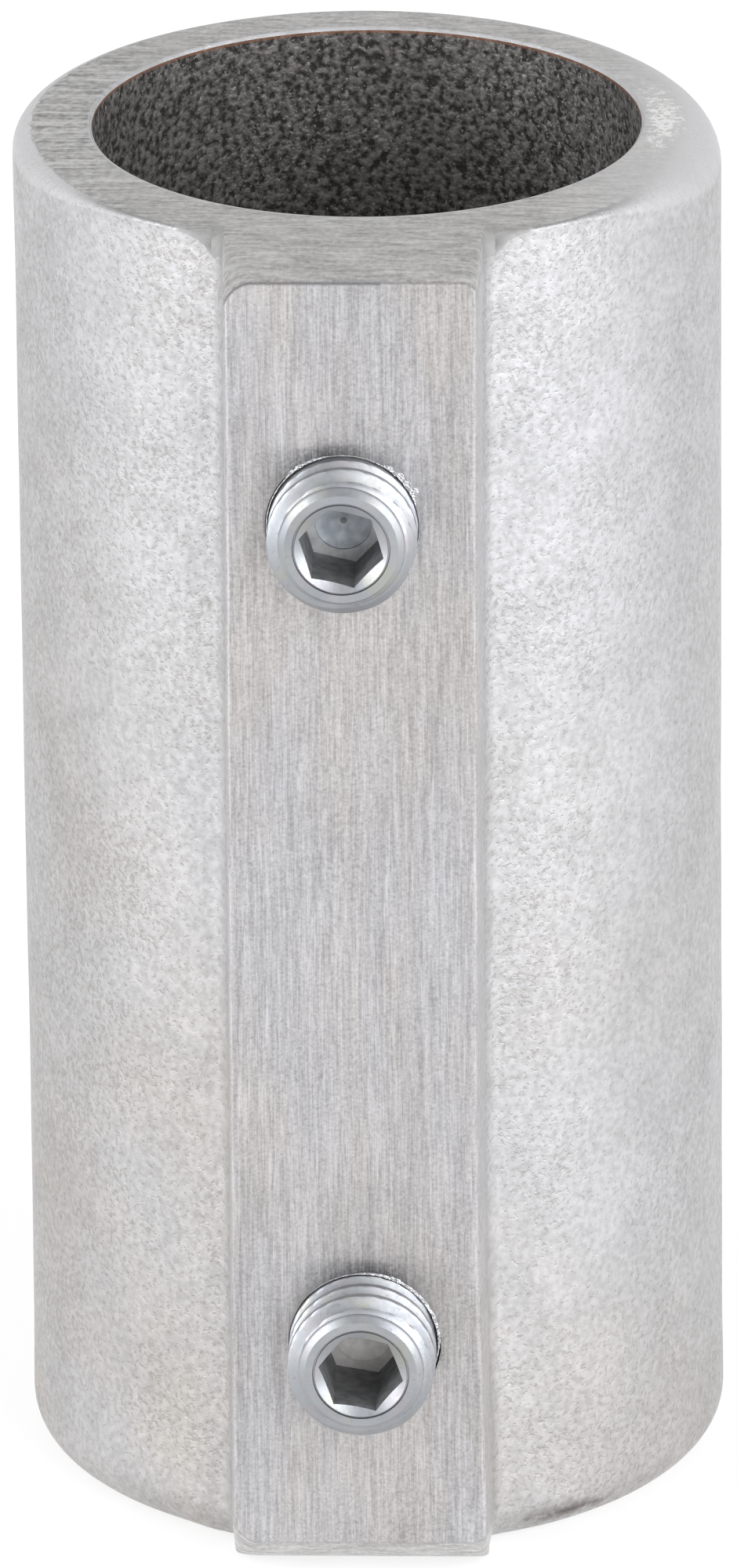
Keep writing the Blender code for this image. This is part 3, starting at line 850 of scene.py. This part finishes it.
def end_colour(nodes, place, lines, on_left, crystals):
    """Linished end face: strokes, darker on the left and lighter on the right, and bright crystals."""
    narrow = nodes.remap(place[0], -0.95 * OUTER_RADIUS, -0.3 * OUTER_RADIUS, 0.08, 0.13)
    light = nodes.remap(lines, nodes.math("SUBTRACT", 0.5, narrow), nodes.math("ADD", 0.5, narrow))
    dark = nodes.mix(on_left, (0.350, 0.343, 0.338, 1), (0.27, 0.265, 0.262, 1))
    colour = nodes.mix(light, dark, (0.665, 0.655, 0.65, 1))
    lighter = nodes.remap(place[0], 0.50 * OUTER_RADIUS, 0.92 * OUTER_RADIUS, 0.0, 0.8)
    colour = nodes.mix(lighter, colour, (0.72, 0.71, 0.71, 1))
    return nodes.mix(crystals, colour, (0.97, 0.96, 0.955, 1))


def ground_masks(nodes, place, rib_lines, end_lines):
    """Where the flat and the end faces are linished, with edges made ragged by their strokes."""
    rag = nodes.math("MULTIPLY", nodes.math("SUBTRACT", rib_lines, 0.5), 0.8)
    rib = nodes.math("ADD", nodes.attribute("rib_ground"), rag)
    rib = nodes.remap(rib, 0.40, 0.60, smooth=True)
    softness = nodes.remap(place[0], 0.1 * OUTER_RADIUS, 0.8 * OUTER_RADIUS, 0.07, 0.45)
    reach = nodes.remap(place[0], -0.2 * OUTER_RADIUS, 0.5 * OUTER_RADIUS, 2.6, 1.0)
    rag = nodes.math("MULTIPLY", nodes.math("SUBTRACT", end_lines, 0.5), reach)
    end = nodes.math("ADD", nodes.attribute("end_ground"), rag)
    end = nodes.remap(end, nodes.math("SUBTRACT", 0.5, softness), nodes.math("ADD", 0.5, softness),
                      smooth=True)
    return rib, end


def cast_material(grain, strokes):
    """Outer skin of the sleeve: blasted sand casting, linished on the rib's flat and both ends."""
    material, nodes, shader, position = start_material("cast_and_linished_aluminium", 0.85)
    place = nodes.add("ShaderNodeSeparateXYZ", {0: position}).outputs
    pit_amount = nodes.remap(place[0], -0.9 * OUTER_RADIUS, 0.0, 0.98, 0.76)
    skin = nodes.grain(grain, position, 2050.0, 3300.0, pit_amount)
    rib = nodes.strokes(strokes, position, (1.0, 1.0, 0.045), 3800.0)
    turned = nodes.stretch(position, (1.0, 1.0, 1.0), (0.0, 0.0, 0.05))
    fine = nodes.strokes(strokes, turned, (0.16, 1.0, 0.3), 1900.0)["Strokes"]
    coarse = nodes.strokes(strokes, position, (0.07, 1.0, 0.3), 1350.0)["Strokes"]
    on_left = nodes.remap(place[0], -0.45 * OUTER_RADIUS, -0.75 * OUTER_RADIUS, 0.0, 0.95, smooth=True)
    end_lines = nodes.mix_value(on_left, fine, coarse)
    rib_mask, end_mask = ground_masks(nodes, place, rib["Strokes"], end_lines)
    patch = nodes.attribute("rough_patch")
    crystals = nodes.math("MULTIPLY_ADD", patch, 0.20, nodes.noise(position, 2600.0, 4.0, 0.7))
    crystals = nodes.math("MULTIPLY", nodes.remap(crystals, 0.58, 0.70),
                          nodes.remap(patch, 0.05, 0.4, 0.0, 0.9))
    rolled_painted_shade = nodes.attribute("rolled_painted_shade")
    # Painted shadow line along the flat's top edge on the left.
    painted_edge_shadow = nodes.remap(nodes.attribute("painted_edge_shadow"), 0.80, 0.97, 0.0, 0.65)
    # Painted highlight along the bore's edges, broken up by noise.
    edge = nodes.math("MULTIPLY", nodes.remap(nodes.attribute("bore_edge_highlight"), 0.72, 0.85, smooth=True),
                      nodes.remap(nodes.noise(position, 800.0, 2.0), 0.36, 0.58, 0.25, 1.0))

    colour = nodes.mix(rib_mask, cast_colour(nodes, position, place, skin),
                       rib_colour(nodes, position, skin, rib))
    colour = nodes.mix(end_mask, colour, end_colour(nodes, place, end_lines, on_left, crystals))
    # Painted shade on the roll beside the rib; its roughness is raised there as well.
    colour = nodes.mix(rolled_painted_shade, colour, (0.345, 0.34, 0.336, 1))
    colour = nodes.mix(painted_edge_shadow, colour, (0.17, 0.165, 0.165, 1))
    colour = nodes.mix(edge, colour, (0.58, 0.585, 0.60, 1))
    roughness = nodes.remap(skin["Mottle"], 0.3, 0.7, 0.62, 0.52)
    roughness = nodes.mix_value(rib_mask, roughness, nodes.remap(rib["Strokes"], 0.3, 0.7, 0.50, 0.38))
    roughness = nodes.mix_value(end_mask, roughness, nodes.remap(fine, 0.3, 0.7, 0.50, 0.38))
    roughness = nodes.math("MULTIPLY_ADD", rolled_painted_shade, 0.3, roughness)
    height = nodes.mix_value(rib_mask, skin["Height"], nodes.math("MULTIPLY", rib["Strokes"], 0.5))
    height = nodes.mix_value(end_mask, height, nodes.math("MULTIPLY", fine, 0.8))
    height = nodes.math("MULTIPLY_ADD", crystals, 0.5, height)
    finish_material(nodes, shader, colour, roughness, height, 0.6, 0.045 * MM)
    return material


def bore_material(grain):
    """Inside of the sleeve: coarse as-cast surface that the blasting never reached, coloured dark partly
    as painted shade inside the bore.
    """
    material, nodes, shader, position = start_material("bore_cast_and_painted_shade", 0.4)
    place = nodes.add("ShaderNodeSeparateXYZ", {0: position}).outputs
    skin = nodes.grain(grain, position, 2200.0, 3600.0, 0.75)
    # Very dark greys: partly painted shade inside the bore.
    grey = nodes.mix(nodes.remap(skin["Mottle"], 0.38, 0.66),
                     (0.022, 0.020, 0.019, 1), (0.190, 0.180, 0.172, 1))
    specks = nodes.remap(skin["Pits"], 0.3, 0.9, 0.0, 0.6)
    colour = nodes.mix(specks, grey, (0.36, 0.345, 0.33, 1))
    rust = nodes.remap(place[2], LENGTH - 0.42 * MM, LENGTH - 0.28 * MM, 0.0, 0.9)
    colour = nodes.mix(rust, colour, (0.21, 0.105, 0.065, 1))
    roughness = nodes.remap(skin["Mottle"], 0.3, 0.7, 0.75, 0.5)
    finish_material(nodes, shader, colour, roughness, skin["Mottle"], 0.9, 0.20 * MM)
    return material


def tapped_material(strokes):
    """Cut thread inside the two tapped holes: bright machined aluminium with fine tool lines."""
    material, nodes, shader, position = start_material("cut_aluminium_thread", 1.0)
    lines = nodes.strokes(strokes, position, (0.4, 1.0, 0.4), 4000.0)["Strokes"]
    colour = nodes.mix(lines, (0.30, 0.29, 0.285, 1), (0.50, 0.49, 0.48, 1))
    roughness = nodes.remap(lines, 0.3, 0.7, 0.45, 0.3)
    finish_material(nodes, shader, colour, roughness, lines, 0.4, 0.03 * MM)
    return material


def torn_material(grain):
    """Torn lips round the tapped holes: bright freshly broken aluminium with dark creases."""
    material, nodes, shader, position = start_material("torn_aluminium", 1.0)
    skin = nodes.grain(grain, position, 3800.0, 5000.0, 0.8)
    colour = nodes.mix(nodes.remap(skin["Mottle"], 0.36, 0.62),
                       (0.42, 0.415, 0.42, 1), (0.66, 0.67, 0.69, 1))
    roughness = nodes.remap(skin["Mottle"], 0.3, 0.7, 0.5, 0.28)
    finish_material(nodes, shader, colour, roughness, skin["Height"], 0.6, 0.05 * MM)
    return material


def zinc_material(grain, strokes):
    """Bright zinc plate on steel: a faint cloud of blue, straw and rose over fine tool lines."""
    material, nodes, shader, position = start_material("bright_zinc_plate", 1.0)
    cloud = nodes.noise(position, 260.0, 3.0, 0.6)
    tint = nodes.noise(position, 410.0, 2.0, 0.5)
    skin = nodes.grain(grain, position, 3200.0, 5200.0, 0.35)
    lines = nodes.strokes(strokes, position, (0.12, 1.0, 0.12), 5200.0)["Strokes"]
    colour = nodes.mix(nodes.remap(cloud, 0.35, 0.65), (0.32, 0.335, 0.36, 1), (0.385, 0.395, 0.41, 1))
    colour = nodes.mix(nodes.remap(tint, 0.56, 0.72, 0.0, 0.5), colour, (0.385, 0.35, 0.37, 1))
    colour = nodes.mix(nodes.remap(tint, 0.44, 0.30, 0.0, 0.5), colour, (0.39, 0.39, 0.33, 1))
    colour = nodes.mix(nodes.math("MULTIPLY", skin["Pits"], 0.4), colour, (0.18, 0.185, 0.19, 1))
    roughness = nodes.remap(skin["Mottle"], 0.3, 0.7, 0.52, 0.40)
    height = nodes.math("MULTIPLY_ADD", lines, 0.5, skin["Height"])
    finish_material(nodes, shader, colour, roughness, height, 0.3, 0.012 * MM)
    return material


def socket_material(grain, name, dark, light, roughness):
    """Inside of a hexagon socket: dull plate between two given colours, which the tank hardly reached; on
    the walls the dark colours are partly painted shade of the deep socket.
    """
    material, nodes, shader, position = start_material(name, 0.7)
    skin = nodes.grain(grain, position, 1500.0, 3000.0, 0.3)
    colour = nodes.mix(nodes.remap(skin["Mottle"], 0.35, 0.65), dark, light)
    rough = nodes.remap(skin["Mottle"], 0.3, 0.7, roughness + 0.05, roughness - 0.05)
    finish_material(nodes, shader, colour, rough, skin["Height"], 0.3, 0.02 * MM)
    return material


# ---------------------------------------------------------------- stage

def add_camera():
    """Long-lens camera from a little above and just to the right of the rib."""
    distance, height, sideways = 45.70 * OUTER_RADIUS, 18.615 * OUTER_RADIUS, -0.0133 * OUTER_RADIUS
    azimuth, tilt, roll = math.radians(2.0), 0.3872, -0.0099
    camera = bpy.data.cameras.new("camera")
    camera.sensor_fit = "VERTICAL"
    camera.sensor_height = 36.0
    camera.lens = 395.54
    camera.clip_start = 0.05
    camera.clip_end = 20.0
    view = bpy.data.objects.new("camera", camera)
    right = np.array([math.cos(azimuth), math.sin(azimuth), 0.0])
    toward = np.array([math.sin(azimuth), -math.cos(azimuth), 0.0])
    view.location = MIDDLE + toward * distance + right * sideways + np.array([0.0, 0.0, height])
    view.rotation_mode = "XYZ"
    facing = Matrix.Rotation(azimuth, 3, "Z") @ Matrix.Rotation(math.pi / 2.0 - tilt, 3, "X")
    facing = facing @ Matrix.Rotation(roll, 3, "Z")
    view.rotation_euler = facing.to_euler("XYZ")
    bpy.context.scene.collection.objects.link(view)
    bpy.context.scene.camera = view


def add_light(name, azimuth, height, size, power):
    """Soft rectangular lamp at an azimuth from the front, a distance away, that faces the sleeve."""
    lamp = bpy.data.lights.new(name, "AREA")
    lamp.shape = "RECTANGLE"
    lamp.size, lamp.size_y = size
    lamp.energy = power
    lamp.color = LAMP_COLOUR
    light = bpy.data.objects.new(name, lamp)
    turn = math.radians(azimuth)
    place = MIDDLE + np.array([LAMP_DISTANCE * math.sin(turn), -LAMP_DISTANCE * math.cos(turn), height])
    light.location = place
    light.rotation_euler = Vector(MIDDLE - place).to_track_quat("-Z", "Y").to_euler()
    bpy.context.scene.collection.objects.link(light)


def add_stage():
    """Plain pale floor, bright even surroundings and soft lamps."""
    side = 3.0
    corners = np.array([[-side, -side, 0.0], [side, -side, 0.0], [side, side, 0.0], [-side, side, 0.0]])
    paper = bpy.data.materials.new("pale_floor")
    paper.use_nodes = True
    shader = paper.node_tree.nodes["Principled BSDF"]
    shader.inputs["Base Color"].default_value = FLOOR_COLOUR
    shader.inputs["Roughness"].default_value = 0.9
    shader.inputs["Emission Color"].default_value = (1.0, 1.0, 1.0, 1.0)
    shader.inputs["Emission Strength"].default_value = FLOOR_GLOW
    floor = add_piece("floor", corners, [np.array([[0, 1, 2, 3]])], [paper])
    world = bpy.data.worlds.new("studio")
    world.use_nodes = True
    world.node_tree.nodes["Background"].inputs["Color"].default_value = (1.0, 1.0, 1.0, 1.0)
    world.node_tree.nodes["Background"].inputs["Strength"].default_value = WORLD_STRENGTH
    bpy.context.scene.world = world
    for lamp in LAMPS:
        add_light(*lamp)
    bpy.context.scene.view_settings.view_transform = "Standard"


def main():
    grain, strokes = grain_group(), stroke_group()
    cast = cast_material(grain, strokes)
    add_sleeve([cast, bore_material(grain), tapped_material(strokes)])
    torn, zinc = torn_material(grain), zinc_material(grain, strokes)
    # The socket walls' dark colours are partly painted shade.
    walls = socket_material(grain, "socket_wall_painted_shade", *SOCKET_WALL_TONES_AND_SHADE, 0.6)
    floors = {tone: socket_material(grain, "socket_floor_" + tone, *shades, 0.5)
              for tone, shades in FLOOR_SHADES.items()}
    for name, screw in SCREWS.items():
        add_screw(name, [zinc, floors[screw["floor"]], walls, floors[screw["rim"]]])
        add_burr(name.replace("set_screw", "hole_burr"), name, torn)
    add_stage()
    add_camera()


main()
